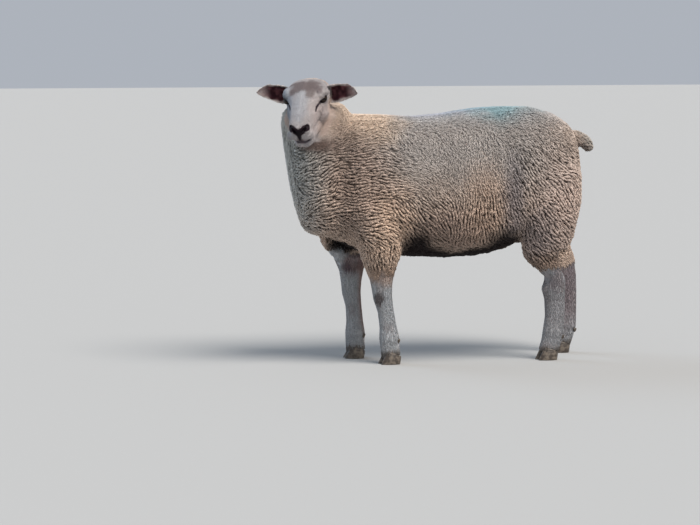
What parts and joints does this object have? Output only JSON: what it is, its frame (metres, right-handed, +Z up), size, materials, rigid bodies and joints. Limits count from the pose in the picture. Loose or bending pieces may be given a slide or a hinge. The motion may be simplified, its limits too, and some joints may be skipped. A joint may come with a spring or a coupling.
{
  "type": "sheep",
  "caption": "Life-size standing ewe in short cream fleece with a white face, head turned to her left, docked tail, resting on cloven hooves.",
  "frame": {"origin": "on the floor under the middle of the whole animal's bounding box", "axes": "+Z up, -Y the way her body points, +X her left side"},
  "size_m": [0.409, 0.997, 0.8079],
  "materials": {
    "fleece": "short crimped cream wool in small wavy locks, greyer and dirtier below",
    "face_hair": "short flat white hair with a grey-brown patch on the forehead and a dark nose",
    "leg_hair": "short white leg hair, blotched grey-brown",
    "ear_skin": "thin haired skin, pink-brown inside and white outside",
    "hoof_horn": "dark ridged horn",
    "eye": "wet amber eye with a level slit pupil"
  },
  "bodies": {
    "root": {"neck": "fleece", "trunk": "fleece", "leg_front_left_upper": "fleece", "leg_front_left_lower": "leg_hair", "claw_front_left_outer": "hoof_horn", "dewclaw_front_left_outer": "hoof_horn", "claw_front_left_inner": "hoof_horn", "dewclaw_front_left_inner": "hoof_horn", "leg_front_right_upper": "fleece", "leg_front_right_lower": "leg_hair", "claw_front_right_inner": "hoof_horn", "dewclaw_front_right_inner": "hoof_horn", "claw_front_right_outer": "hoof_horn", "dewclaw_front_right_outer": "hoof_horn", "leg_hind_left_upper": "fleece", "leg_hind_left_lower": "leg_hair", "claw_hind_left_outer": "hoof_horn", "dewclaw_hind_left_outer": "hoof_horn", "claw_hind_left_inner": "hoof_horn", "dewclaw_hind_left_inner": "hoof_horn", "leg_hind_right_upper": "fleece", "leg_hind_right_lower": "leg_hair", "claw_hind_right_inner": "hoof_horn", "dewclaw_hind_right_inner": "hoof_horn", "claw_hind_right_outer": "hoof_horn", "dewclaw_hind_right_outer": "hoof_horn", "tail": "fleece", "eye_left": "eye", "ear_left": "ear_skin", "eye_right": "eye", "ear_right": "ear_skin", "head": "face_hair"}
  },
  "joints": []
}
